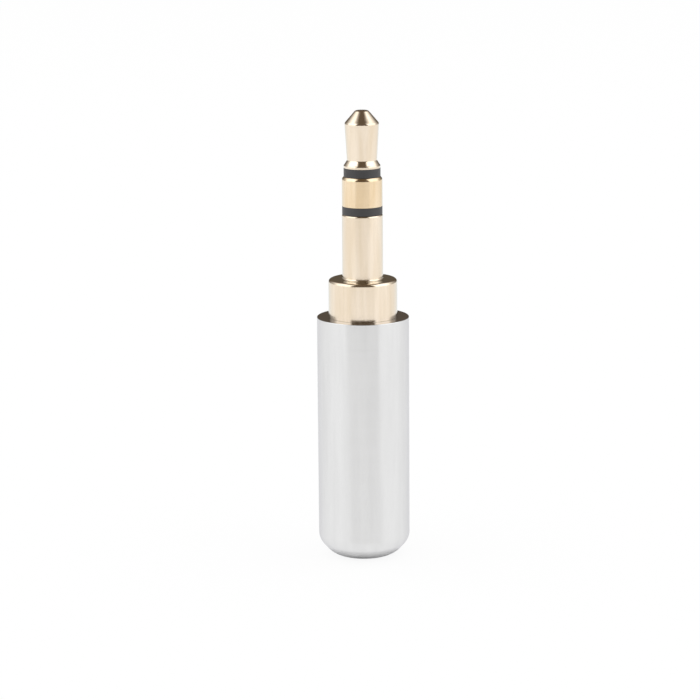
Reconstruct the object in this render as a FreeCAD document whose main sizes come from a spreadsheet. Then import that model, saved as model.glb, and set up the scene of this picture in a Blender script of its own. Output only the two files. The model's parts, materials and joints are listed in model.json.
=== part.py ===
import FreeCAD, Part
import math
import os

import Sketcher
from FreeCAD import Placement, Rotation, Vector

# Stereo jack plug, 3.5 mm, three contacts, solder type.
# The axis of the plug is +Z. The origin is the centre of the shell's flat rear end, on which the
# plug stands, and the tip points up. All sizes are in millimetres.

# Driving sizes: name, value, what it measures
SIZES = [
    ("sleeve_diameter", 3.5, "sleeve contact, the standard size of the plug"),
    ("sleeve_length", 5.6, "sleeve contact, collar to insulating ring"),
    ("sleeve_edge", 0.1, "bevel on the sleeve's front edge"),
    ("sleeve_wall", 0.39, "wall of the sleeve"),
    ("ring_spacer_inset", 0.03, "insulating ring behind the ring contact, below the sleeve's surface"),
    ("ring_spacer_length", 0.67, "the same ring's length"),
    ("ring_inset", 0.02, "ring contact, below the sleeve's surface"),
    ("ring_length", 2.54, "ring contact, visible length"),
    ("ring_edge_width", 0.15, "bevel on the ring's front edge, radial"),
    ("ring_edge_height", 0.2, "bevel on the ring's front edge, axial"),
    ("ring_edge_break", 0.04, "broken rear edge of the ring contact"),
    ("ring_shank_wall", 0.28, "wall of the ring contact's shank"),
    ("tip_spacer_length", 0.72, "insulating ring behind the tip"),
    ("tip_flange_inset", 0.18, "flange at the root of the tip, below the sleeve's surface"),
    ("tip_flange_lip", 0.29, "straight edge of the flange"),
    ("tip_flange_cone", 0.37, "height of the flange's cone"),
    ("tip_waist_inset", 0.47, "narrowest part of the tip, below the sleeve's surface"),
    ("tip_taper", 3.16, "length from waist to shoulder"),
    ("tip_shoulder_inset", 0.28, "shoulder of the tip, below the sleeve's surface"),
    ("tip_nose", 1.06, "height of the nose cone"),
    ("tip_flat", 1.08, "diameter of the flat front of the nose"),
    ("tip_edge", 0.06, "small bevels at the shoulder and the nose"),
    ("tube_wall", 0.25, "wall of both insulating tubes"),
    ("core_fit", 0.02, "radial clearance between the nested stems and tubes"),
    ("collar_length", 3.3, "collar, shell mouth to front face"),
    ("collar_round", 0.28, "rounded front edge of the collar"),
    ("collar_step", 0.25, "collar beyond the thread's crests, radial"),
    ("thread_length", 4.15, "thread with its relief, from the collar's seat"),
    ("thread_step", 0.2, "thread's crests beyond the shell's bore, radial"),
    ("thread_fit", 0.03, "radial running clearance of the thread"),
    ("thread_runout", 0.45, "extra depth of the shell's thread"),
    ("thread_bevel", 0.2, "bevel at the thread's start"),
    ("relief_depth", 0.3, "depth of the thread relief under the collar"),
    ("relief_length", 0.3, "length of the thread relief"),
    ("shell_length", 21.06, "shell, rear end to mouth"),
    ("shell_wall", 1.22, "wall of the shell round its thread"),
    ("shell_end_round", 1.46, "radius where the shell's side turns into its rear end"),
    ("shell_end_slope", 42, "angle of the rear end's cone to the axis, in degrees"),
    ("shell_end_crown", 2.1, "radius from that cone into the flat ring, at most what fits"),
    ("shell_end_ring", 0.17, "width of the flat ring that the shell stands on"),
    ("shell_end_wall", 1.5, "thickness of the rear wall"),
    ("shell_mouth_bevel", 0.1, "bevel inside the mouth"),
    ("shell_rim_break", 0.05, "broken outer edge of the mouth"),
    ("cable_hole", 2.8, "diameter of the cable hole"),
    ("cable_hole_bevel", 0.15, "bevel on the outer edge of the cable hole"),
    ("liner_wall", 0.2, "wall of the insulating liner"),
    ("liner_fit", 0.05, "radial clearance between liner and shell"),
    ("liner_room", 0.08, "radial room between the corners of the sleeve's arm and the liner"),
    ("liner_end_gap", 0.3, "play between the liner and the thread's end"),
    ("stake_wall", 0.2, "wall of the rear collar that is staked over a lug"),
    ("stake_spread", 0.1, "how far a staked edge spreads over its lug"),
    ("stake_height", 0.15, "thickness of a staked edge"),
    ("rivet_height", 0.25, "riveted end of the tip's stem"),
    ("rivet_spread", 0.24, "how far the riveted end spreads over the tip's lug"),
    ("washer_thickness", 0.6, "insulating washers between the lugs"),
    ("washer_rim", 0.38, "insulating washers beyond the ring contact's shank, radial"),
    ("lug_sheet", 0.3, "sheet thickness of the solder lugs"),
    ("lug_fit", 0.02, "radial clearance of a lug's hole"),
    ("lug_inner_bend", 0.06, "inner bend radius of a lug"),
    ("lug_gap", 0.08, "gap between a lug and the washers that it passes"),
    ("lug_eye", 0.7, "solder eye in a lug"),
    ("tab_width", 1.2, "width of the solder tabs"),
    ("tab_length", 4.6, "length of the solder tabs"),
    ("tip_lug_rim", 0.63, "tip's lug beyond its hole, radial"),
    ("tip_lug_step", 0.25, "outer face of the tip's tab beyond its lug's rim"),
    ("ring_lug_rim", 0.26, "ring's lug beyond its hole, radial"),
    ("sleeve_lug_rim", 0.42, "sleeve's lug beyond its hole, radial"),
    ("sleeve_lug_width", 1.6, "width of the sleeve's arm"),
    ("sleeve_lug_eye_drop", 4.6, "solder eye in the sleeve's arm, below the lug's front face"),
    ("claw_bottom", 2.9, "lower edge of the cable claws"),
    ("claw_length", 2.4, "length of the cable claws"),
    ("claw_opening", 1.8, "gap between the two claws"),
    ("claw_overlap", 0.3, "length over which the arm runs into the claws"),
    ("claw_round", 0.35, "rounded corners of the claws, at most half of what bends over"),
]

# Two points closer than this, in millimetres, are the same corner
SAME_POINT = 0.001

doc = FreeCAD.newDocument("StereoJackPlug")
sheet = doc.addObject("Spreadsheet::Sheet", "Sizes")
for row, (alias, value, meaning) in enumerate(SIZES, start=1):
    sheet.set(f"A{row}", meaning)
    sheet.set(f"B{row}", str(value))
    sheet.setAlias(f"B{row}", alias)
doc.recompute()


def half(alias):
    """Expression for the radius that belongs to a diameter."""
    return f"Sizes.{alias} / 2"


# Heights along the axis, from the shell's rear end up to the tip
COLLAR_SEAT = "Sizes.shell_length"
COLLAR_TOP = f"({COLLAR_SEAT} + Sizes.collar_length)"
SLEEVE_TOP = f"({COLLAR_TOP} + Sizes.sleeve_length)"
RING_BASE = f"({SLEEVE_TOP} + Sizes.ring_spacer_length)"
RING_TOP = f"({RING_BASE} + Sizes.ring_length)"
TIP_BASE = f"({RING_TOP} + Sizes.tip_spacer_length)"
LIP_TOP = f"({TIP_BASE} + Sizes.tip_flange_lip)"
WAIST = f"({LIP_TOP} + Sizes.tip_flange_cone)"
SHOULDER = f"({WAIST} + Sizes.tip_taper)"
NOSE_TOP = f"({SHOULDER} + Sizes.tip_nose)"

# Heights of the pieces stacked behind the thread, from the thread's end down to the rivet
THREAD_END = f"({COLLAR_SEAT} - Sizes.thread_length)"
SLEEVE_LUG_REAR = f"({THREAD_END} - Sizes.lug_sheet)"
SLEEVE_REAR = f"({SLEEVE_LUG_REAR} - Sizes.stake_height)"
RING_LUG_FRONT = f"({SLEEVE_REAR} - Sizes.washer_thickness)"
RING_LUG_REAR = f"({RING_LUG_FRONT} - Sizes.lug_sheet)"
RING_REAR = f"({RING_LUG_REAR} - Sizes.stake_height)"
TIP_LUG_FRONT = f"({RING_REAR} - Sizes.washer_thickness)"
TIP_LUG_REAR = f"({TIP_LUG_FRONT} - Sizes.lug_sheet)"
TIP_REAR = f"({TIP_LUG_REAR} - Sizes.rivet_height)"

# Radii of the contact pin, from its surface inwards to the stem
SLEEVE = half("sleeve_diameter")
SLEEVE_BORE = f"({SLEEVE} - Sizes.sleeve_wall)"
OUTER_TUBE = f"({SLEEVE_BORE} - Sizes.core_fit)"
OUTER_TUBE_BORE = f"({OUTER_TUBE} - Sizes.tube_wall)"
SHANK = f"({OUTER_TUBE_BORE} - Sizes.core_fit)"
SHANK_BORE = f"({SHANK} - Sizes.ring_shank_wall)"
INNER_TUBE = f"({SHANK_BORE} - Sizes.core_fit)"
INNER_TUBE_BORE = f"({INNER_TUBE} - Sizes.tube_wall)"
STEM = f"({INNER_TUBE_BORE} - Sizes.core_fit)"
RING = f"({SLEEVE} - Sizes.ring_inset)"
FLANGE = f"({SLEEVE} - Sizes.tip_flange_inset)"
WASHER = f"({SHANK} + Sizes.washer_rim)"

# Outer faces of the lugs' tabs, from the axis, and what they are bent round
LUG_BEND = "(Sizes.lug_inner_bend + Sizes.lug_sheet)"
STAKE = f"({SLEEVE_BORE} + Sizes.stake_wall)"
SLEEVE_LUG = f"({STAKE} + Sizes.lug_fit + Sizes.sleeve_lug_rim)"
SLEEVE_TAB = f"({STAKE} + Sizes.stake_spread + {LUG_BEND})"
RING_LUG = f"({SHANK} + Sizes.lug_fit + Sizes.ring_lug_rim)"
RING_TAB = f"({WASHER} + Sizes.lug_gap + Sizes.lug_sheet)"
TIP_LUG = f"({STEM} + Sizes.lug_fit + Sizes.tip_lug_rim)"
TIP_TAB = f"({TIP_LUG} + Sizes.tip_lug_step)"

# Radii behind the collar, from the corners of the sleeve's arm out to the shell's surface
ARM_CORNER = f"sqrt({SLEEVE_TAB} ^ 2 + (Sizes.sleeve_lug_width / 2) ^ 2)"
LINER_BORE = f"({ARM_CORNER} + Sizes.liner_room)"
LINER = f"({LINER_BORE} + Sizes.liner_wall)"
SHELL_BORE = f"({LINER} + Sizes.liner_fit)"
THREAD = f"({SHELL_BORE} + Sizes.thread_step)"
COLLAR = f"({THREAD} + Sizes.collar_step)"
SHELL_THREAD = f"({THREAD} + Sizes.thread_fit)"
SHELL = f"({SHELL_THREAD} + Sizes.shell_wall)"


def new_body(name):
    """An empty body whose label is the name of the piece."""
    body = doc.addObject("PartDesign::Body", name)
    body.Label = name
    return body


def sketch_on(body, name, role, lift="0"):
    """A sketch on one of the body's origin planes, moved by lift along the plane's normal."""
    sketch = body.newObject("Sketcher::SketchObject", name)
    plane = next(item for item in body.Origin.OriginFeatures if item.Role == role)
    sketch.AttachmentSupport = (plane, [""])
    sketch.MapMode = "FlatFace"
    sketch.setExpression("AttachmentOffset.Base.z", lift)
    return sketch


def fix_point(sketch, edge, end, across, up):
    """Tie an edge's start (1), end (2) or centre (3) to two expressions."""
    for kind, expression in (("DistanceX", across), ("DistanceY", up)):
        value = float(sketch.evalExpression(expression))
        index = sketch.addConstraint(Sketcher.Constraint(kind, -1, 1, edge, end, value))
        sketch.setExpression(f"Constraints[{index}]", expression)


def fix_radius(sketch, edge, expression):
    """Tie the radius of an arc or circle to an expression."""
    value = float(sketch.evalExpression(expression))
    index = sketch.addConstraint(Sketcher.Constraint("Radius", edge, value))
    sketch.setExpression(f"Constraints[{index}]", expression)


def arc_between(start, end, radius, hollow):
    """Arc from start to end, shorter than a half circle, bulging out of the outline or into it."""
    chord = end - start
    middle = (start + end) * 0.5
    rise = math.sqrt(radius ** 2 - (chord.Length / 2) ** 2)
    side = Vector(chord.y, -chord.x, 0).normalize()
    if hollow:
        side = -side
    centre = middle + side * rise
    crown = centre - side * radius
    return Part.Arc(start, crown, end)


def draw_outline(sketch, corners):
    """Closed outline through the corners, clockwise.

    A corner is (across, up), or (across, up, radius) when an arc of that radius leads to it,
    or (across, up, radius, "hollow") when that arc bulges into the outline.
    """
    points = [
        Vector(float(sketch.evalExpression(corner[0])), float(sketch.evalExpression(corner[1])), 0)
        for corner in corners
    ]
    for index, corner in enumerate(corners):
        before = points[index - 1]
        if len(corner) > 2:
            radius = float(sketch.evalExpression(corner[2]))
            sketch.addGeometry(arc_between(before, points[index], radius, "hollow" in corner))
        else:
            sketch.addGeometry(Part.LineSegment(before, points[index]))
    # An arc runs anticlockwise, so one that bulges out meets the outline end first
    reversed_arc = [len(corner) == 3 for corner in corners]
    for index, corner in enumerate(corners):
        following = (index + 1) % len(corners)
        end = 1 if reversed_arc[index] else 2
        start = 2 if reversed_arc[following] else 1
        sketch.addConstraint(Sketcher.Constraint("Coincident", index, end, following, start))
        fix_point(sketch, index, end, corner[0], corner[1])
        if len(corner) > 2:
            fix_radius(sketch, index, corner[2])


def draw_circle(sketch, radius, across="0", up="0"):
    """A circle with its centre and radius tied to expressions."""
    centre = Vector(float(sketch.evalExpression(across)), float(sketch.evalExpression(up)), 0)
    circle = Part.Circle(centre, Vector(0, 0, 1), float(sketch.evalExpression(radius)))
    edge = sketch.addGeometry(circle)
    fix_point(sketch, edge, 3, across, up)
    fix_radius(sketch, edge, radius)


def turned(name, corners):
    """A piece turned about the plug's axis from its outline of radii and heights."""
    body = new_body(name)
    sketch = sketch_on(body, f"{name}_outline", "XZ_Plane")
    draw_outline(sketch, corners)
    revolution = body.newObject("PartDesign::Revolution", f"{name}_turned")
    revolution.Profile = sketch
    revolution.ReferenceAxis = (sketch, ["V_Axis"])
    sketch.Visibility = False
    return body


def tube(name, inner, outer, bottom, top):
    """A plain tube or washer about the plug's axis."""
    return turned(name, [(inner, top), (outer, top), (outer, bottom), (inner, bottom)])


def pad(body, sketch, name, length, midplane=False):
    """Pad the sketch by a length tied to an expression."""
    feature = body.newObject("PartDesign::Pad", name)
    feature.Profile = sketch
    feature.setExpression("Length", length)
    feature.Midplane = midplane
    sketch.Visibility = False
    return feature


def pocket(body, sketch, name, depth):
    """Pocket the sketch downwards and make sure that it took material away."""
    doc.recompute()
    before = body.Shape.Volume
    feature = body.newObject("PartDesign::Pocket", name)
    feature.Profile = sketch
    feature.setExpression("Length", depth)
    sketch.Visibility = False
    doc.recompute()
    if body.Shape.Volume >= before:
        raise RuntimeError(f"{name} removes nothing")
    return feature


# Tip contact: nose, waist and flange on a long stem, riveted over its lug at the rear
def tip_contact():
    edge = "Sizes.tip_edge"
    shoulder = f"({SLEEVE} - Sizes.tip_shoulder_inset)"
    rivet = f"({STEM} + Sizes.rivet_spread)"
    return turned("tip_contact", [
        ("0", NOSE_TOP),
        (f"{half('tip_flat')} - {edge}", NOSE_TOP),
        (f"{half('tip_flat')} + {edge}", f"{NOSE_TOP} - {edge}"),
        (f"{shoulder} - {edge}", f"{SHOULDER} + {edge}"),
        (shoulder, SHOULDER),
        (f"{SLEEVE} - Sizes.tip_waist_inset", WAIST),
        (f"{FLANGE} - {edge}", LIP_TOP),
        (FLANGE, f"{LIP_TOP} - {edge}"),
        (FLANGE, TIP_BASE),
        (STEM, TIP_BASE),
        (STEM, TIP_LUG_REAR),
        (rivet, TIP_LUG_REAR),
        (STEM, TIP_REAR, rivet),
        ("0", TIP_REAR),
    ])


# Ring contact: a short head on a tubular shank, staked over its lug at the rear
def ring_contact():
    edge = "Sizes.ring_edge_break"
    staked = f"({SHANK} + Sizes.stake_spread)"
    return turned("ring_contact", [
        (SHANK_BORE, RING_TOP),
        (f"{RING} - Sizes.ring_edge_width", RING_TOP),
        (RING, f"{RING_TOP} - Sizes.ring_edge_height"),
        (RING, f"{RING_BASE} + {edge}"),
        (f"{RING} - {edge}", RING_BASE),
        (SHANK, RING_BASE),
        (SHANK, RING_LUG_REAR),
        (staked, RING_LUG_REAR),
        (staked, RING_REAR),
        (SHANK_BORE, RING_REAR),
    ])


# Sleeve contact, collar and thread, turned in one piece, staked over its lug at the rear
def sleeve_body():
    edge = "Sizes.sleeve_edge"
    bevel = "Sizes.thread_bevel"
    relief = f"({THREAD} - Sizes.relief_depth)"
    relief_end = f"({COLLAR_SEAT} - Sizes.relief_length)"
    staked = f"({STAKE} + Sizes.stake_spread)"
    return turned("sleeve_body", [
        (SLEEVE_BORE, SLEEVE_TOP),
        (f"{SLEEVE} - {edge}", SLEEVE_TOP),
        (SLEEVE, f"{SLEEVE_TOP} - {edge}"),
        (SLEEVE, COLLAR_TOP),
        (f"{COLLAR} - Sizes.collar_round", COLLAR_TOP),
        (COLLAR, f"{COLLAR_TOP} - Sizes.collar_round", "Sizes.collar_round"),
        (COLLAR, COLLAR_SEAT),
        (relief, COLLAR_SEAT),
        (relief, relief_end),
        (THREAD, f"{relief_end} - Sizes.relief_depth"),
        (THREAD, f"{THREAD_END} + {bevel}"),
        (f"{THREAD} - {bevel}", THREAD_END),
        (STAKE, THREAD_END),
        (STAKE, SLEEVE_LUG_REAR),
        (staked, SLEEVE_LUG_REAR),
        (staked, SLEEVE_REAR),
        (SLEEVE_BORE, SLEEVE_REAR),
    ])


# Screw-on shell: one turned piece with a rounded rear end and a hole for the cable
def shell():
    hole = half("cable_hole")
    hole_edge = f"({hole} + Sizes.cable_hole_bevel)"
    flat = f"({hole_edge} + Sizes.shell_end_ring)"
    rim = "Sizes.shell_rim_break"
    bevel = "Sizes.shell_mouth_bevel"
    thread_floor = f"({THREAD_END} - Sizes.thread_runout)"
    # The rear end: a round from the side into a cone, and a crown from the cone into the flat ring
    slope = "Sizes.shell_end_slope * 1 deg"
    round_in = f"(Sizes.shell_end_round * (1 - cos({slope})))"
    span = f"({SHELL} - {flat} - {round_in})"
    crown = f"min(Sizes.shell_end_crown; 0.95 * {span} / cos({slope}))"
    cone = f"(({span} - {crown} * cos({slope})) / tan({slope}))"
    crown_top = f"({crown} * (1 - sin({slope})))"
    cone_top = f"({crown_top} + {cone})"
    return turned("shell", [
        (f"{SHELL_THREAD} + {bevel}", COLLAR_SEAT),
        (f"{SHELL} - {rim}", COLLAR_SEAT),
        (SHELL, f"{COLLAR_SEAT} - {rim}"),
        (SHELL, f"{cone_top} + Sizes.shell_end_round * sin({slope})"),
        (f"{SHELL} - {round_in}", cone_top, "Sizes.shell_end_round"),
        (f"{flat} + {crown} * cos({slope})", crown_top),
        (flat, "0", crown),
        (hole_edge, "0"),
        (hole, "Sizes.cable_hole_bevel"),
        (hole, "Sizes.shell_end_wall"),
        (SHELL_BORE, "Sizes.shell_end_wall"),
        (SHELL_BORE, thread_floor),
        (SHELL_THREAD, thread_floor),
        (SHELL_THREAD, f"{COLLAR_SEAT} - {bevel}"),
    ])


def lug_blank(name, front, washer, reach, width):
    """Disc and bend of a sheet-metal lug, with its tab side towards +X."""
    body = new_body(name)
    rear = f"({front} - Sizes.lug_sheet)"
    disc = sketch_on(body, f"{name}_disc", "XY_Plane", rear)
    draw_circle(disc, washer)
    pad(body, disc, f"{name}_disc_pad", "Sizes.lug_sheet")
    bend_start = f"({reach} - {LUG_BEND})"
    bend_end = f"({front} - {LUG_BEND})"
    bend = sketch_on(body, f"{name}_bend", "XZ_Plane")
    draw_outline(bend, [
        ("0", front),
        (bend_start, front),
        (reach, bend_end, LUG_BEND),
        (f"{reach} - Sizes.lug_sheet", bend_end),
        (bend_start, rear, "Sizes.lug_inner_bend", "hollow"),
        ("0", rear),
    ])
    pad(body, bend, f"{name}_bend_pad", width, midplane=True)
    return body


def punch_hole(body, name, front, radius):
    """Hole of the lug, round the stem, shank or stake that holds it."""
    hole = sketch_on(body, f"{name}_hole", "XY_Plane", front)
    draw_circle(hole, radius)
    pocket(body, hole, f"{name}_hole_pocket", "Sizes.lug_sheet")


def solder_lug(name, front, held_by, washer, reach, turn):
    """Lug with a straight tab that ends in a solder eye, turned about the axis to its place."""
    width = "Sizes.tab_width"
    body = lug_blank(name, front, washer, reach, width)
    tab_top = f"({front} - {LUG_BEND})"
    eye_height = f"({front} - Sizes.tab_length + {width} / 2)"
    tab = sketch_on(body, f"{name}_tab", "YZ_Plane", f"{reach} - Sizes.lug_sheet")
    draw_outline(tab, [
        (f"-{width} / 2", tab_top),
        (f"{width} / 2", tab_top),
        (f"{width} / 2", eye_height),
        ("0", f"{eye_height} - {width} / 2", f"{width} / 2"),
        (f"-{width} / 2", eye_height, f"{width} / 2"),
    ])
    draw_circle(tab, half("lug_eye"), "0", eye_height)
    pad(body, tab, f"{name}_tab_pad", "Sizes.lug_sheet")
    punch_hole(body, name, front, f"{held_by} + Sizes.lug_fit")
    body.Placement = Placement(Vector(0, 0, 0), Rotation(Vector(0, 0, 1), turn))
    return body


def round_claws(body, name, heights):
    """Round the corners of the claws, where their free ends meet the given heights."""
    opening = float(sheet.evalExpression("claw_opening")) / 2
    doc.recompute()

    def is_corner(edge):
        points = [vertex.Point for vertex in edge.Vertexes]
        at_opening = all(abs(abs(point.y) - opening) < SAME_POINT and point.x < 0 for point in points)
        at_height = any(all(abs(point.z - height) < SAME_POINT for point in points) for height in heights)
        return at_opening and at_height

    corners = [f"Edge{number}" for number, edge in enumerate(body.Shape.Edges, start=1) if is_corner(edge)]
    base = body.Tip
    fillet = body.newObject("PartDesign::Fillet", f"{name}_claw_rounds")
    fillet.Base = (base, corners)
    bent_over = f"({SLEEVE_TAB} - Sizes.lug_sheet - Sizes.claw_opening / 2)"
    fillet.setExpression("Radius", f"min(Sizes.claw_round; {bent_over} / 2)")


def sleeve_lug(name, turn):
    """Lug of the sleeve: a long arm with a solder eye that ends in two claws round the cable."""
    width = "Sizes.sleeve_lug_width"
    reach = SLEEVE_TAB
    body = lug_blank(name, THREAD_END, SLEEVE_LUG, reach, width)
    claw_top = "(Sizes.claw_bottom + Sizes.claw_length)"
    arm = sketch_on(body, f"{name}_arm", "YZ_Plane", f"{reach} - Sizes.lug_sheet")
    arm_top = f"{THREAD_END} - {LUG_BEND}"
    arm_bottom = f"{claw_top} - Sizes.claw_overlap"
    draw_outline(arm, [
        (f"-{width} / 2", arm_top),
        (f"{width} / 2", arm_top),
        (f"{width} / 2", arm_bottom),
        (f"-{width} / 2", arm_bottom),
    ])
    draw_circle(arm, half("lug_eye"), "0", f"{THREAD_END} - Sizes.sleeve_lug_eye_drop")
    pad(body, arm, f"{name}_arm_pad", "Sizes.lug_sheet")
    claws = sketch_on(body, f"{name}_claws", "XY_Plane", "Sizes.claw_bottom")
    draw_circle(claws, reach)
    draw_circle(claws, f"{reach} - Sizes.lug_sheet")
    pad(body, claws, f"{name}_claws_pad", "Sizes.claw_length")
    opening = sketch_on(body, f"{name}_opening", "XY_Plane", claw_top)
    draw_outline(opening, [
        (f"-{reach}", "Sizes.claw_opening / 2"),
        ("0", "Sizes.claw_opening / 2"),
        ("0", "-Sizes.claw_opening / 2"),
        (f"-{reach}", "-Sizes.claw_opening / 2"),
    ])
    pocket(body, opening, f"{name}_opening_pocket", "Sizes.claw_length")
    claw_ends = ("Sizes.claw_bottom", claw_top)
    round_claws(body, name, [float(opening.evalExpression(height)) for height in claw_ends])
    punch_hole(body, name, THREAD_END, f"{STAKE} + Sizes.lug_fit")
    body.Placement = Placement(Vector(0, 0, 0), Rotation(Vector(0, 0, 1), turn))
    return body


# Directions of the three lugs about the axis, in degrees from +X
RING_LUG_TURN = 0
SLEEVE_LUG_TURN = 90
TIP_LUG_TURN = 180

pieces = [
    shell(),
    tube("liner_tube", LINER_BORE, LINER, "Sizes.shell_end_wall", f"{THREAD_END} - Sizes.liner_end_gap"),
    sleeve_body(),
    tube("ring_spacer", OUTER_TUBE_BORE, f"{SLEEVE} - Sizes.ring_spacer_inset", SLEEVE_TOP, RING_BASE),
    tube("outer_tube", OUTER_TUBE_BORE, OUTER_TUBE, SLEEVE_REAR, SLEEVE_TOP),
    ring_contact(),
    tube("tip_spacer", INNER_TUBE_BORE, FLANGE, RING_TOP, TIP_BASE),
    tube("inner_tube", INNER_TUBE_BORE, INNER_TUBE, RING_REAR, RING_TOP),
    tip_contact(),
    sleeve_lug("sleeve_lug", SLEEVE_LUG_TURN),
    tube("sleeve_washer", OUTER_TUBE_BORE, WASHER, RING_LUG_FRONT, SLEEVE_REAR),
    solder_lug("ring_lug", RING_LUG_FRONT, SHANK, RING_LUG, RING_TAB, RING_LUG_TURN),
    tube("ring_washer", INNER_TUBE_BORE, WASHER, TIP_LUG_FRONT, RING_REAR),
    solder_lug("tip_lug", TIP_LUG_FRONT, STEM, TIP_LUG, TIP_TAB, TIP_LUG_TURN),
]

doc.recompute()
for item in doc.Objects:
    if {"Invalid", "Error"} & set(item.State):
        raise RuntimeError(f"{item.Name} did not build: {item.State}")
for piece in pieces:
    if piece.Shape.isNull() or not piece.Shape.isValid() or len(piece.Shape.Solids) != 1:
        raise RuntimeError(f"{piece.Label} is not one valid solid")

os.makedirs("parts", exist_ok=True)
for piece in pieces:
    piece.Shape.exportStep(f"parts/{piece.Label}.step")
    box = piece.Shape.BoundBox
    print(f"{piece.Label}: {piece.Shape.Volume:.3f} mm3, z {box.ZMin:.2f} to {box.ZMax:.2f}")
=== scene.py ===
import json
import math

import bpy
from mathutils import Matrix, Vector


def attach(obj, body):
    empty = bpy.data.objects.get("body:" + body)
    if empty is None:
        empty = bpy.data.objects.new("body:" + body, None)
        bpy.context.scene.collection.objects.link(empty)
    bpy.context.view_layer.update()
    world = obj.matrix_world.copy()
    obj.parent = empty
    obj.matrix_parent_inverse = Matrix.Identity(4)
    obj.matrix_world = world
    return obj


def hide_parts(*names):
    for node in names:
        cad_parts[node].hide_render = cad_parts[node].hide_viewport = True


# Stereo jack plug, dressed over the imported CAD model. Everything is in metres, the axis of the
# plug is +Z, it stands on its rear end at height 0 and the camera looks at it from -Y.

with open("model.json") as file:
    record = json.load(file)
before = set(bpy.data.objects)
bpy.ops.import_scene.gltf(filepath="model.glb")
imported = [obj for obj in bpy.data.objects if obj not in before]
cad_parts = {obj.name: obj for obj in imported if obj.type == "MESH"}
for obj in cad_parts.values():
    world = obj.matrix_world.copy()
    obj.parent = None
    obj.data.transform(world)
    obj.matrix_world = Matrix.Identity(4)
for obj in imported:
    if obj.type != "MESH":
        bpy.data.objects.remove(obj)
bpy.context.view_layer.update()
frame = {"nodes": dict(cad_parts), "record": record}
MM = 0.001
MICRON = 0.000001


# Sizes read from the frame

rings = {
    name: [(math.hypot(v.co.x, v.co.y), v.co.z) for v in node.data.vertices]
    for name, node in frame["nodes"].items()
}


def ring_values(node, inner, outer, low, high):
    """Radius and height of a node's vertices between two radii and two heights."""
    return [(r, z) for r, z in rings[node] if inner <= r <= outer and low <= z <= high]


def widest(node, low=-1.0, high=1.0):
    """Largest radius of a node between two heights."""
    return max(r for r, z in ring_values(node, 0.0, 1.0, low, high))


def narrowest(node, low=-1.0, high=1.0):
    """Smallest radius of a node between two heights."""
    return min(r for r, z in ring_values(node, 0.0, 1.0, low, high))


def highest(node, inner=0.0, outer=1.0, low=-1.0, high=1.0):
    """Greatest height of a node between two radii, and between two heights."""
    return max(z for r, z in ring_values(node, inner, outer, low, high))


def lowest(node, inner=0.0, outer=1.0, low=-1.0, high=1.0):
    """Least height of a node between two radii, and between two heights."""
    return min(z for r, z in ring_values(node, inner, outer, low, high))


HAIR = MICRON
SLIDE_FIT = 0.02 * MM

SHELL_TOP = highest("shell")
SHELL_R = widest("shell")
SHELL_END_TOP = lowest("shell", SHELL_R - HAIR)
SHELL_FLAT_R = widest("shell", -HAIR, HAIR)
HOLE_R = narrowest("shell")
HOLE_BEVEL = narrowest("shell", -HAIR, HAIR) - HOLE_R
REAR_WALL = highest("shell", 0, HOLE_R + HAIR)
BORE_R = narrowest("shell", REAR_WALL + HAIR)
LEDGE_Z = highest("shell", 0, BORE_R + HAIR)
FEMALE_R = narrowest("shell", LEDGE_Z + HAIR)
MOUTH_BEVEL = narrowest("shell", SHELL_TOP - HAIR) - FEMALE_R
MOUTH_BREAK = SHELL_R - widest("shell", SHELL_TOP - HAIR)

SLEEVE_TOP = lowest("ring_spacer")
SLEEVE_REAR = lowest("sleeve_body")
SLEEVE_BORE = narrowest("sleeve_body")
SLEEVE_EDGE_R = widest("sleeve_body", SLEEVE_TOP - HAIR)
COLLAR_R = widest("sleeve_body")
COLLAR_TOP = highest("sleeve_body", (SLEEVE_EDGE_R + COLLAR_R) / 2)
SLEEVE_R = widest("sleeve_body", COLLAR_TOP + HAIR)
SLEEVE_EDGE = SLEEVE_R - SLEEVE_EDGE_R
COLLAR_ROUND = COLLAR_R - widest("sleeve_body", COLLAR_TOP - HAIR, COLLAR_TOP + HAIR)
THREAD_R = widest("sleeve_body", SLEEVE_REAR, SHELL_TOP - HAIR)
THREAD_LOW = lowest("sleeve_body", THREAD_R - HAIR, THREAD_R + HAIR)
THREAD_HIGH = highest("sleeve_body", THREAD_R - HAIR, THREAD_R + HAIR, high=SHELL_TOP - HAIR)
RELIEF_R = narrowest("sleeve_body", THREAD_HIGH + HAIR, SHELL_TOP + HAIR)
RELIEF_Z = lowest("sleeve_body", RELIEF_R - HAIR, RELIEF_R + HAIR)
THREAD_FACE_Z = lowest("sleeve_body", RELIEF_R)
THREAD_FACE_R = widest("sleeve_body", THREAD_FACE_Z - HAIR, THREAD_FACE_Z + HAIR)
STAKE_LIP_R = widest("sleeve_body", SLEEVE_REAR - HAIR, SLEEVE_REAR + HAIR)
STAKE_LIP_Z = highest("sleeve_body", STAKE_LIP_R - HAIR, STAKE_LIP_R + HAIR, high=THREAD_FACE_Z)
STAKE_R = narrowest("sleeve_body", STAKE_LIP_Z + HAIR, THREAD_FACE_Z + HAIR)

RING_BASE = highest("ring_spacer")
RING_TOP = lowest("tip_spacer")
RING_R = widest("ring_contact")
RING_FACE_R = widest("ring_contact", RING_TOP - HAIR, RING_TOP + HAIR)
RING_EDGE_Z = highest("ring_contact", RING_R - HAIR)
RING_BORE = narrowest("ring_contact")
RING_BREAK = RING_R - widest("ring_contact", RING_BASE - HAIR, RING_BASE + HAIR)
RING_REAR = lowest("ring_contact")
RING_LIP_R = widest("ring_contact", RING_REAR - HAIR, RING_REAR + HAIR)
RING_LIP_Z = highest("ring_contact", RING_LIP_R - HAIR, RING_LIP_R + HAIR, high=RING_BASE - HAIR)
RING_SHANK = narrowest("outer_tube") - SLIDE_FIT

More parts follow.
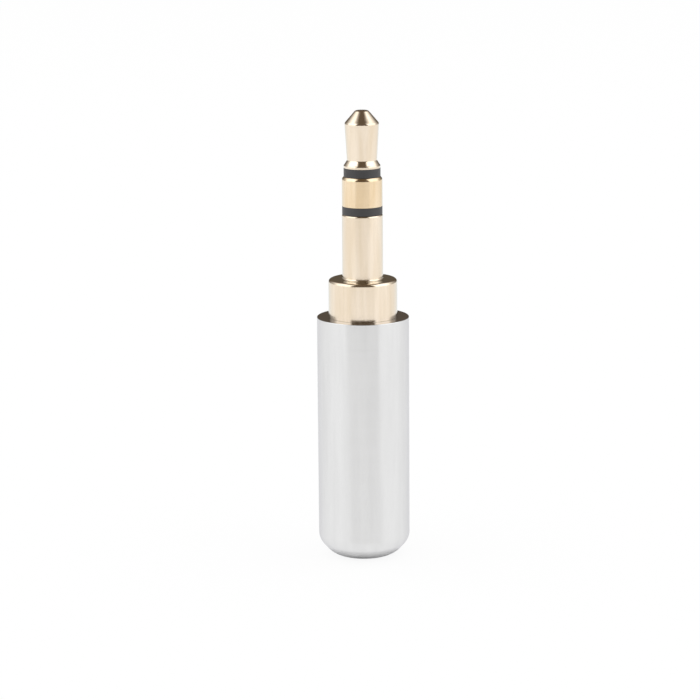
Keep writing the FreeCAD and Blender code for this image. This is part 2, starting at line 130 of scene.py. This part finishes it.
FLANGE_BASE = highest("tip_spacer")
FLANGE_R = widest("tip_contact")
TIP_TOP = highest("tip_contact")
TIP_REAR = lowest("tip_contact")
RIVET_Z = highest("tip_contact", high=FLANGE_BASE - HAIR)
STEM_R = narrowest("inner_tube") - SLIDE_FIT


# Details too fine for the frame, in the plug's own sizes

EDGE = 0.035 * MM
TINY_EDGE = 0.012 * MM
SOFT_EDGE = 0.14 * MM
RING_SHOULDER = 0.3 * MM
FOOT_FILLET = 0.16 * MM
SHOULDER_ROUND = 0.28 * MM
LEAD = 0.5 * MM
THREAD_DEPTH = 0.25 * MM
THREAD_PLAY = FEMALE_R - THREAD_R
THREAD_STEPS = 20
# Share of half a lead that the flat crest takes, and the flat root too
THREAD_FLAT = 0.16


# Outlines

STRAIGHT = math.radians(0.5)
ROUND_STEP = math.radians(9)
HEAD_STEP = math.radians(6)
SHELL_STEP = math.radians(4)
# Share of a straight run that the roundings at its two ends may take up
FILL_LIMIT = 0.98
# Straight runs shorter than this many rows are left as they are
SHORT_RUN = 1.5


def rounded(corners, step=ROUND_STEP):
    """Points of an outline with their outward normals, from corners of radius, height, rounding."""
    count = len(corners)
    places = [Vector(corner[:2]) for corner in corners]
    turns = []
    reaches = []
    for i in range(count):
        into = (places[i] - places[i - 1]).normalized()
        out = (places[(i + 1) % count] - places[i]).normalized()
        turns.append(math.atan2(into.x * out.y - into.y * out.x, into.dot(out)))
        reaches.append(corners[i][2] * math.tan(abs(turns[i]) / 2))
    room = []
    for i in range(count):
        after = (i + 1) % count
        wanted = max(reaches[i] + reaches[after], HAIR / 10)
        room.append(min(1.0, FILL_LIMIT * (places[after] - places[i]).length / wanted))
    points = []
    for i, here in enumerate(places):
        into = (here - places[i - 1]).normalized()
        normal = Vector((into.y, -into.x))
        if abs(turns[i]) < STRAIGHT:
            points.append((here.x, here.y, normal.x, normal.y))
            continue
        reach = reaches[i] * min(room[i - 1], room[i])
        radius = reach / math.tan(abs(turns[i]) / 2)
        side = math.copysign(1.0, turns[i])
        centre = here - into * reach - normal * radius * side
        steps = max(2, math.ceil(abs(turns[i]) / step))
        for k in range(steps + 1):
            spun = Matrix.Rotation(turns[i] * k / steps, 2) @ normal
            at = centre + spun * radius * side
            points.append((at.x, at.y, spun.x, spun.y))
    return points


def bends(points):
    """The ends of an outline and the points where it turns."""
    kept = points[:1]
    for before, here, after in zip(points, points[1:], points[2:]):
        into = math.atan2(here[1] - before[1], here[0] - before[0])
        out = math.atan2(after[1] - here[1], after[0] - here[0])
        if abs(out - into) > STRAIGHT:
            kept.append(here)
    return kept + points[-1:]


def crossing(a, b, c, d):
    """Where the line through a and b meets the line through c and d."""
    first = (b[0] - a[0], b[1] - a[1])
    second = (d[0] - c[0], d[1] - c[1])
    across = first[0] * second[1] - first[1] * second[0]
    share = ((c[0] - a[0]) * second[1] - (c[1] - a[1]) * second[0]) / across
    return a[0] + first[0] * share, a[1] + first[1] * share


def filled(points, low, high, pitch):
    """The same points, with rows at an even pitch on straight runs between two heights."""
    dense = []
    for i, here in enumerate(points):
        dense.append(here)
        there = points[(i + 1) % len(points)]
        middle = (here[1] + there[1]) / 2
        run = abs(there[1] - here[1])
        if low < middle < high and run > SHORT_RUN * pitch:
            rows = math.ceil(run / pitch)
            for k in range(1, rows):
                dense.append(tuple(a + (b - a) * k / rows for a, b in zip(here, there)))
    return dense


# Thread

def groove(angle, height):
    """Depth share of the helical thread, 1 on the crest and 0 in the root."""
    phase = (height / LEAD - angle / math.tau) % 1.0
    slope = (abs(2 * phase - 1) - THREAD_FLAT) / (1 - 2 * THREAD_FLAT)
    share = min(max(slope, 0.0), 1.0)
    return 0.5 * share + 0.5 * share * share * (3 - 2 * share)


def plain(angle, r, z):
    """Radius of a piece with no thread."""
    return r


def male(angle, r, z):
    """Radius of the sleeve's thread, where the outline would stand in its grooves."""
    if not THREAD_FACE_Z - HAIR < z < RELIEF_Z + HAIR or r < RELIEF_R - HAIR:
        return r
    return min(r, THREAD_R - THREAD_DEPTH * (1 - groove(angle, z)))


def female(angle, r, z):
    """Radius of the shell's thread, which follows the sleeve's with a little play."""
    if z < LEDGE_Z + HAIR or r > FEMALE_R + HAIR:
        return r
    return max(BORE_R, THREAD_R - THREAD_DEPTH * (1 - groove(angle, z)) + THREAD_PLAY)


def cut_normal(thread, angle, r, z, side):
    """Normal of a threaded surface, in directions outward, round the axis and up."""
    rise = LEAD / THREAD_STEPS
    turn = rise / r
    around = (thread(angle + turn, r, z) - thread(angle - turn, r, z)) / (2 * turn * r)
    up = (thread(angle, r, z + rise) - thread(angle, r, z - rise)) / (2 * rise)
    sign = math.copysign(1.0, side)
    return sign, -around * sign, -up * sign


# Turned pieces

SHELL_SEGMENTS = 192
PIN_SEGMENTS = 160


def turned(name, points, segments, body, node, open_ends=False, thread=plain):
    """A piece turned round the axis, smooth shaded by the outline's own normals."""
    verts = []
    normals = []
    for r, z, out, up in points:
        for k in range(segments):
            angle = math.tau * k / segments
            radius = thread(angle, r, z)
            normal = (out, 0.0, up)
            if abs(radius - r) >= MICRON:
                normal = cut_normal(thread, angle, r, z, out)
            verts.append((radius * math.cos(angle), radius * math.sin(angle), z))
            normals.append(Matrix.Rotation(angle, 3, "Z") @ Vector(normal).normalized())
    faces = []
    rows = len(points)
    for i in range(rows - 1 if open_ends else rows):
        a = i * segments
        b = (i + 1) % rows * segments
        for k in range(segments):
            n = (k + 1) % segments
            faces.append((a + k, a + n, b + n, b + k))
    if open_ends:
        last = (rows - 1) * segments
        faces.append(tuple(reversed(range(segments))))
        faces.append(tuple(range(last, last + segments)))
    mesh = bpy.data.meshes.new(name)
    mesh.from_pydata(verts, [], faces)
    mesh.validate()
    mesh.polygons.foreach_set("use_smooth", [True] * len(mesh.polygons))
    mesh.normals_split_custom_set_from_vertices(normals)
    mesh.update()
    piece = bpy.data.objects.new(name, mesh)
    bpy.context.scene.collection.objects.link(piece)
    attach(piece, body)
    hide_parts(node)
    return piece


# Shell, whose rear end is a cone with a round above it and a crown below it

end_levels = sorted({
    (round(z, 7), round(r, 7))
    for r, z in ring_values("shell", SHELL_FLAT_R - HAIR, 1.0, -HAIR, SHELL_END_TOP)
    if r > BORE_R + HAIR or z < REAR_WALL - HAIR
})
cone_foot, cone_head = max(zip(end_levels, end_levels[1:]), key=lambda pair: math.dist(*pair))
END_SLOPE = math.atan2(cone_head[1] - cone_foot[1], cone_head[0] - cone_foot[0])
END_ROUND = (SHELL_R - cone_head[1]) / (1 - math.cos(END_SLOPE))
END_CROWN = cone_foot[0] / (1 - math.sin(END_SLOPE))
END_CORNER_Z = cone_head[0] + (SHELL_R - cone_head[1]) / math.tan(END_SLOPE)
END_CORNER_R = cone_foot[1] - cone_foot[0] * math.tan(END_SLOPE)
shell_points = rounded([
    (END_CORNER_R, 0, END_CROWN),
    (SHELL_R, END_CORNER_Z, END_ROUND),
    (SHELL_R, SHELL_TOP, MOUTH_BREAK),
    (FEMALE_R + MOUTH_BEVEL, SHELL_TOP, TINY_EDGE),
    (FEMALE_R, SHELL_TOP - MOUTH_BEVEL, TINY_EDGE),
    (FEMALE_R, LEDGE_Z, TINY_EDGE),
    (BORE_R, LEDGE_Z, TINY_EDGE),
    (BORE_R, REAR_WALL, EDGE),
    (HOLE_R, REAR_WALL, EDGE),
    (HOLE_R, HOLE_BEVEL, TINY_EDGE),
    (HOLE_R + HOLE_BEVEL, 0, EDGE),
], step=SHELL_STEP)
shell_points = filled(shell_points, LEDGE_Z, SHELL_TOP, LEAD / THREAD_STEPS)
shell = turned(
    "shell_turned", shell_points, SHELL_SEGMENTS, "shell", "shell", thread=female
)


# Sleeve, collar and thread in one turned piece

sleeve_points = rounded([
    (SLEEVE_BORE, SLEEVE_REAR, TINY_EDGE),
    (STAKE_LIP_R, SLEEVE_REAR, EDGE),
    (STAKE_LIP_R, STAKE_LIP_Z, EDGE),
    (STAKE_R, STAKE_LIP_Z, TINY_EDGE),
    (STAKE_R, THREAD_FACE_Z, TINY_EDGE),
    (THREAD_FACE_R, THREAD_FACE_Z, TINY_EDGE),
    (THREAD_R, THREAD_LOW, TINY_EDGE),
    (THREAD_R, THREAD_HIGH, TINY_EDGE),
    (RELIEF_R, RELIEF_Z, TINY_EDGE),
    (RELIEF_R, SHELL_TOP, TINY_EDGE),
    (COLLAR_R, SHELL_TOP, EDGE),
    (COLLAR_R, COLLAR_TOP, COLLAR_ROUND),
    (SLEEVE_R, COLLAR_TOP, FOOT_FILLET),
    (SLEEVE_R, SLEEVE_TOP - SLEEVE_EDGE, SOFT_EDGE),
    (SLEEVE_EDGE_R, SLEEVE_TOP, EDGE),
    (SLEEVE_BORE, SLEEVE_TOP, TINY_EDGE),
])
sleeve_points = filled(sleeve_points, THREAD_FACE_Z, RELIEF_Z, LEAD / THREAD_STEPS)
sleeve = turned(
    "sleeve_turned", sleeve_points, SHELL_SEGMENTS, "insert", "sleeve_body", thread=male
)


# Ring contact

ring_points = rounded([
    (RING_BORE, RING_REAR, TINY_EDGE),
    (RING_LIP_R, RING_REAR, EDGE),
    (RING_LIP_R, RING_LIP_Z, EDGE),
    (RING_SHANK, RING_LIP_Z, TINY_EDGE),
    (RING_SHANK, RING_BASE, TINY_EDGE),
    (RING_R, RING_BASE, RING_BREAK),
    (RING_R, RING_EDGE_Z, RING_SHOULDER),
    (RING_FACE_R, RING_TOP, SOFT_EDGE),
    (RING_BORE, RING_TOP, TINY_EDGE),
])
ring = turned("ring_turned", ring_points, PIN_SEGMENTS, "insert", "ring_contact")


# Tip contact, whose shoulder is one rounded corner where taper and nose cone would meet

def tip_corners(levels, rounding):
    """Corners of the tip contact's outline at some heights."""
    return [(widest("tip_contact", z - HAIR, z + HAIR), z, rounding) for z in levels]


tip_levels = sorted({round(z, 7) for r, z in rings["tip_contact"]})
rivet = tip_corners([z for z in tip_levels if z < RIVET_Z + HAIR], EDGE)
head = bends(tip_corners([z for z in tip_levels if z > FLANGE_BASE + HAIR], SOFT_EDGE))
lip_low, lip_high, waist, shoulder_low, shoulder_high, nose_low, nose_top = head
shoulder = (*crossing(waist, shoulder_low, shoulder_high, nose_low), SHOULDER_ROUND)
tip_points = rounded([
    (HAIR, TIP_REAR, 0),
    *rivet,
    (STEM_R, RIVET_Z, TINY_EDGE),
    (STEM_R, FLANGE_BASE, TINY_EDGE),
    (FLANGE_R, FLANGE_BASE, EDGE),
    lip_low,
    lip_high,
    waist,
    shoulder,
    nose_low,
    nose_top,
    (HAIR, TIP_TOP, 0),
], step=HEAD_STEP)
tip = turned(
    "tip_turned", tip_points, PIN_SEGMENTS, "insert", "tip_contact", open_ends=True
)


# Node helpers

# Places of the Mix node's sockets, several of which share a name
MIX_FACTOR = 0
MIX_NUMBERS = (2, 3)
MIX_NUMBER_OUT = 0
MIX_COLOURS = (6, 7)
MIX_COLOUR_OUT = 2


def feed(tree, socket, value):
    """Link a socket to a node's output, or set it to a number or a colour."""
    if isinstance(value, bpy.types.NodeSocket):
        tree.links.new(value, socket)
    elif isinstance(value, tuple):
        socket.default_value = (*value, 1)
    else:
        socket.default_value = value


def computed(tree, operation, *values):
    """Result of a math node."""
    node = tree.nodes.new("ShaderNodeMath")
    node.operation = operation
    for socket, value in zip(node.inputs, values):
        feed(tree, socket, value)
    return node.outputs[0]


def ramp(tree, value, span, low=0.0, high=1.0, smooth=True):
    """A value turned into one from low to high, as it goes through a span."""
    node = tree.nodes.new("ShaderNodeMapRange")
    node.interpolation_type = "SMOOTHSTEP" if smooth else "LINEAR"
    names = ("Value", "From Min", "From Max", "To Min", "To Max")
    for name, given in zip(names, (value, *span, low, high)):
        feed(tree, node.inputs[name], given)
    return node.outputs["Result"]


def mixed(tree, factor, first, second):
    """A number between two numbers."""
    node = tree.nodes.new("ShaderNodeMix")
    feed(tree, node.inputs[MIX_FACTOR], factor)
    for place, value in zip(MIX_NUMBERS, (first, second)):
        feed(tree, node.inputs[place], value)
    return node.outputs[MIX_NUMBER_OUT]


def mixed_colour(tree, factor, first, second):
    """A colour between two colours."""
    node = tree.nodes.new("ShaderNodeMix")
    node.data_type = "RGBA"
    feed(tree, node.inputs[MIX_FACTOR], factor)
    for place, value in zip(MIX_COLOURS, (first, second)):
        feed(tree, node.inputs[place], value)
    return node.outputs[MIX_COLOUR_OUT]


def place_of(tree):
    """Object coordinates, which move with the piece."""
    return tree.nodes.new("ShaderNodeTexCoord").outputs["Object"]


def parts_of(tree, vector):
    """X, Y and Z of a vector."""
    node = tree.nodes.new("ShaderNodeSeparateXYZ")
    feed(tree, node.inputs[0], vector)
    return node.outputs


def noise(tree, across, along, detail):
    """Noise of one fineness across the plug's axis and another along it."""
    mapping = tree.nodes.new("ShaderNodeMapping")
    mapping.inputs["Scale"].default_value = (across, across, along)
    feed(tree, mapping.inputs["Vector"], place_of(tree))
    node = tree.nodes.new("ShaderNodeTexNoise")
    node.inputs["Scale"].default_value = 1.0
    node.inputs["Detail"].default_value = detail
    feed(tree, node.inputs["Vector"], mapping.outputs["Vector"])
    return node.outputs["Fac"]


def bumped(tree, height, depth):
    """Normal of a surface whose relief has a depth in metres."""
    node = tree.nodes.new("ShaderNodeBump")
    node.inputs["Distance"].default_value = depth
    feed(tree, node.inputs["Height"], height)
    return node.outputs["Normal"]


def new_tree(name):
    """A material and its nodes."""
    material = bpy.data.materials.new(name)
    material.use_nodes = True
    return material, material.node_tree


def shader(name, colour, metallic, roughness):
    """A material, its nodes and its Principled shader, whose plain values viewers without nodes show."""
    material, tree = new_tree(name)
    principled = tree.nodes["Principled BSDF"]
    principled.inputs["Base Color"].default_value = (*colour, 1)
    principled.inputs["Metallic"].default_value = metallic
    principled.inputs["Roughness"].default_value = roughness
    return material, tree, principled


# Materials of the plug

CUT_ROUGHNESS = 0.1
QUARTER_TURN = 0.25
LINES_ACROSS = 60
LINE_DETAIL = 3.0
LINE_LEVELS = (0.3, 0.7)
STREAK_ACROSS = 1400
STREAK_ALONG = 130
STREAK_DETAIL = 4.0
STREAK_LEVELS = (0.36, 0.64)
CLOUD = 700
PLASTIC_DETAIL = 2.0


def linear(*rgb):
    """Scene-linear colour of a display colour from 0 to 255."""
    return tuple(((c / 255 + 0.055) / 1.055) ** 2.4 if c > 10 else c / 255 / 12.92 for c in rgb)


def turned_metal(
    name, colour, second, edge_tint, roughness, spread, lines, depth, anisotropy, bright_above=None
):
    """Lathe-turned metal with fine rings, and a mirror-cut face above a height if that is given."""
    material, tree, principled = shader(name, colour, 1.0, roughness)
    principled.inputs["Anisotropic"].default_value = anisotropy
    principled.inputs["Anisotropic Rotation"].default_value = QUARTER_TURN
    principled.inputs["Specular Tint"].default_value = (*edge_tint, 1)
    tangent = tree.nodes.new("ShaderNodeTangent")
    tangent.direction_type = "RADIAL"
    tangent.axis = "Z"
    feed(tree, principled.inputs["Tangent"], tangent.outputs["Tangent"])
    streak = noise(tree, STREAK_ACROSS, STREAK_ALONG, STREAK_DETAIL)
    streak = ramp(tree, streak, STREAK_LEVELS, smooth=False)
    feed(tree, principled.inputs["Base Color"], mixed_colour(tree, streak, colour, second))
    fine = noise(tree, LINES_ACROSS, lines, LINE_DETAIL)
    rough = ramp(tree, fine, LINE_LEVELS, roughness - spread, roughness + spread, smooth=False)
    if bright_above is not None:
        height = parts_of(tree, place_of(tree))["Z"]
        rim = ramp(tree, height, (bright_above - TINY_EDGE, bright_above), smooth=False)
        rough = mixed(tree, rim, rough, CUT_ROUGHNESS)
    feed(tree, principled.inputs["Roughness"], rough)
    feed(tree, principled.inputs["Normal"], bumped(tree, fine, depth))
    return material


def moulded(name, colour, second, roughness, grain, depth):
    """Moulded plastic: a fine even grain and slight clouding."""
    material, tree, principled = shader(name, colour, 0.0, roughness)
    cloud = noise(tree, CLOUD, CLOUD, PLASTIC_DETAIL)
    feed(tree, principled.inputs["Base Color"], mixed_colour(tree, cloud, colour, second))
    speck = noise(tree, grain, grain, PLASTIC_DETAIL)
    feed(tree, principled.inputs["Normal"], bumped(tree, speck, depth))
    return material


aluminium = turned_metal(
    "satin_aluminium", linear(229, 229, 229), linear(225, 225, 225), (0.8, 0.8, 0.82),
    roughness=0.23, spread=0.03, lines=16000, depth=0.3 * MICRON, anisotropy=0.67,
    bright_above=SHELL_TOP - MOUTH_BREAK / 2,
)
gold = turned_metal(
    "pale_gold", linear(246, 231, 211), linear(236, 219, 195), (0.87, 0.94, 1.0),
    roughness=0.17, spread=0.03, lines=14000, depth=0.15 * MICRON, anisotropy=0.7,
)
ring_gold = turned_metal(
    "deeper_gold", linear(247, 226, 195), linear(236, 211, 174), (0.87, 0.94, 1.0),
    roughness=0.17, spread=0.03, lines=14000, depth=0.15 * MICRON, anisotropy=0.7,
)
lug_metal = turned_metal(
    "sheet_brass", linear(236, 214, 176), linear(222, 196, 152), (0.9, 0.95, 1.0),
    roughness=0.25, spread=0.05, lines=2000, depth=0.2 * MICRON, anisotropy=0.0,
)
black_plastic = moulded(
    "black_plastic", linear(58, 57, 58), linear(50, 49, 50),
    roughness=0.45, grain=9000, depth=1.5 * MICRON,
)
tube_plastic = moulded(
    "tube_plastic", linear(228, 225, 214), linear(218, 214, 202),
    roughness=0.5, grain=6000, depth=1.5 * MICRON,
)
liner_plastic = moulded(
    "liner_plastic", linear(232, 232, 228), linear(222, 223, 220),
    roughness=0.45, grain=5000, depth=2 * MICRON,
)

by_slot = {
    "aluminium": aluminium,
    "gold": gold,
    "ring_gold": ring_gold,
    "lug_metal": lug_metal,
    "black_plastic": black_plastic,
    "tube_plastic": tube_plastic,
    "liner": liner_plastic,
}
for part in frame["record"]["subparts"]:
    for material_slot in frame["nodes"][part["node"]].material_slots:
        material_slot.material = by_slot[part["material_slot"]]
for piece, material in ((shell, aluminium), (sleeve, gold), (ring, ring_gold), (tip, gold)):
    piece.data.materials.append(material)


# Camera, fitted to the circles of the plug in the photograph

CAMERA_DISTANCE = 210 * MM
CAMERA_HEIGHT = 62.16 * MM
CAMERA_SIDE = -1.136 * MM
CAMERA_PITCH = math.radians(11.85)
CAMERA_ROLL = math.radians(-0.43)
VIEW_ANGLE = math.radians(15.99)
SENSOR_WIDTH = 36

lens = bpy.data.cameras.new("camera")
lens.sensor_width = SENSOR_WIDTH
lens.lens = SENSOR_WIDTH / 2 / math.tan(VIEW_ANGLE / 2)
lens.clip_start = 1 * MM
camera = bpy.data.objects.new("camera", lens)
bpy.context.scene.collection.objects.link(camera)
camera.matrix_world = (
    Matrix.Translation((CAMERA_SIDE, -CAMERA_DISTANCE, CAMERA_HEIGHT))
    @ Matrix.Rotation(math.pi / 2 - CAMERA_PITCH, 4, "X")
    @ Matrix.Rotation(CAMERA_ROLL, 4, "Z")
)
bpy.context.scene.camera = camera


# Floor: white for the camera and in reflections, shaded paper otherwise. In reflections a disk under the
# plug shows the shaded paper as a painted contact shadow

FLOOR_R = 1.2
FLOOR_SEGMENTS = 96
PAPER = (0.9, 0.9, 0.9)
SEEN_SHARE = 0.9
MIRRORED_SHARE = 0.96
# Share of white glow that reflections keep right under the plug, none: a painted contact shadow in which
# the paper's own shade shows
PAINTED_SHADE_GLOW = 0.0
# Radii between which reflections of the floor go from the paper's own shade, a painted contact shadow
# where the white glow is left off under the plug, to the white glow
PAINTED_SHADE_SPAN = (3.1 * MM, 3.55 * MM)


def staged(name, points, faces):
    """A mesh that is part of the studio and not of the plug."""
    mesh = bpy.data.meshes.new(name)
    mesh.from_pydata(points, [], faces)
    thing = bpy.data.objects.new(name, mesh)
    bpy.context.scene.collection.objects.link(thing)
    return thing


def circle(radius, height, segments):
    """Points of a level circle round the axis."""
    angles = [math.tau * k / segments for k in range(segments)]
    return [(radius * math.cos(a), radius * math.sin(a), height) for a in angles]


def seen_share(tree):
    """How far the floor is plain white rather than shaded, by the kind of ray that meets it; in
    reflections the white is left off under the plug as a painted contact shadow.
    """
    path = tree.nodes.new("ShaderNodeLightPath").outputs
    mirrored = computed(tree, "MAXIMUM", path["Is Glossy Ray"], path["Is Transmission Ray"])
    reach = tree.nodes.new("ShaderNodeVectorMath")
    reach.operation = "LENGTH"
    feed(tree, reach.inputs[0], place_of(tree))
    # Painted contact shadow: in reflections the floor's white glow fades out in a disk under the plug
    clear = ramp(tree, reach.outputs["Value"], PAINTED_SHADE_SPAN, PAINTED_SHADE_GLOW, MIRRORED_SHARE)
    in_mirror = computed(tree, "MULTIPLY", mirrored, clear)
    in_camera = computed(tree, "MULTIPLY", path["Is Camera Ray"], SEEN_SHARE)
    return computed(tree, "MAXIMUM", in_mirror, in_camera)


paper, tree = new_tree("white_paper")
tree.nodes.clear()
output = tree.nodes.new("ShaderNodeOutputMaterial")
mix = tree.nodes.new("ShaderNodeMixShader")
diffuse = tree.nodes.new("ShaderNodeBsdfDiffuse")
diffuse.inputs["Color"].default_value = (*PAPER, 1)
white = tree.nodes.new("ShaderNodeEmission")
feed(tree, mix.inputs[0], seen_share(tree))
feed(tree, mix.inputs[1], diffuse.outputs[0])
feed(tree, mix.inputs[2], white.outputs[0])
feed(tree, output.inputs["Surface"], mix.outputs[0])
floor = staged("floor", circle(FLOOR_R, 0, FLOOR_SEGMENTS), [tuple(range(FLOOR_SEGMENTS))])
floor.data.materials.append(paper)


# Light tent, seen in reflections only: bright at both sides, dark in front, behind and overhead

TENT_R = 1.25
TENT_SEGMENTS = 72
TENT_ROWS = 18
TENT_DARK = (0.128, 0.1, 0.072)
TENT_BRIGHT = (1.7, 1.7, 1.7)
# Azimuths from the front and heights above the horizon, in degrees, between which it changes
FRONT_END = (36, 46)
LOW_FALL = (92, 118)
LOW_END = (120, 160)
HIGH_FALL = (92, 158)
TOP_FALL = (54, 70)
LOW_TO_HIGH = (18, 34)
LOW_SHARE = 0.84
LOW_FAR = 0.25


def half_ball(radius, segments, rows):
    """Points and faces of a half ball that stands open side down on the floor's level."""
    points = []
    for row in range(rows):
        lift = math.pi / 2 * row / rows
        points += circle(radius * math.cos(lift), radius * math.sin(lift), segments)
    points.append((0, 0, radius))
    faces = []
    for k in range(segments):
        n = (k + 1) % segments
        for a in range(0, (rows - 1) * segments, segments):
            faces.append((a + k, a + n, a + n + segments, a + k + segments))
        top = (rows - 1) * segments
        faces.append((top + k, top + n, len(points) - 1))
    return points, faces


def tent_share(tree):
    """How bright the tent is in each direction, from 0 to 1."""
    place = parts_of(tree, place_of(tree))
    sideways = computed(tree, "ABSOLUTE", place["X"])
    forward = computed(tree, "MULTIPLY", place["Y"], -1.0)
    turn = computed(tree, "DEGREES", computed(tree, "ARCTAN2", sideways, forward))
    lift = computed(tree, "ARCSINE", computed(tree, "DIVIDE", place["Z"], TENT_R))
    lift = computed(tree, "DEGREES", lift)
    low = ramp(tree, turn, LOW_FALL, LOW_SHARE, LOW_FAR)
    low = computed(tree, "MULTIPLY", low, ramp(tree, turn, LOW_END, 1, 0))
    high = ramp(tree, turn, HIGH_FALL, 1, 0)
    high = computed(tree, "MULTIPLY", high, ramp(tree, lift, TOP_FALL, 1, 0))
    side = mixed(tree, ramp(tree, lift, LOW_TO_HIGH), low, high)
    return computed(tree, "MULTIPLY", ramp(tree, turn, FRONT_END), side)


cloth, tree = new_tree("tent_cloth")
tree.nodes.clear()
output = tree.nodes.new("ShaderNodeOutputMaterial")
glow = tree.nodes.new("ShaderNodeEmission")
feed(tree, glow.inputs["Color"], mixed_colour(tree, tent_share(tree), TENT_DARK, TENT_BRIGHT))
feed(tree, output.inputs["Surface"], glow.outputs[0])
tent = staged("light_tent", *half_ball(TENT_R, TENT_SEGMENTS, TENT_ROWS))
tent.visible_camera = False
tent.visible_diffuse = False
tent.data.materials.append(cloth)


# Light: an even white world and a softbox on either side

SIDE_DISTANCE = 0.45
SIDE_MIDDLE = 0.57
SIDE_SIZE = 0.9
SIDE_BRIGHT = 0.35

world = bpy.data.worlds.new("white_world")
bpy.context.scene.world = world
world.use_nodes = True
background = world.node_tree.nodes["Background"]
background.inputs["Color"].default_value = (1, 1, 1, 1)
background.inputs["Strength"].default_value = 1.0


def softbox(name, side):
    """A square area lamp that faces the axis, left out of the reflections."""
    lamp = bpy.data.lights.new(name, "AREA")
    lamp.shape = "SQUARE"
    lamp.size = SIDE_SIZE
    lamp.energy = SIDE_BRIGHT * math.pi * SIDE_SIZE * SIDE_SIZE
    thing = bpy.data.objects.new(name, lamp)
    bpy.context.scene.collection.objects.link(thing)
    place = Vector((side * SIDE_DISTANCE, 0, SIDE_MIDDLE))
    look = Vector((-side, 0, 0)).to_track_quat("-Z", "Y")
    thing.matrix_world = Matrix.Translation(place) @ look.to_matrix().to_4x4()
    thing.visible_camera = False
    thing.visible_glossy = False


softbox("left_softbox", -1)
softbox("right_softbox", 1)

bpy.context.scene.view_settings.view_transform = "Standard"
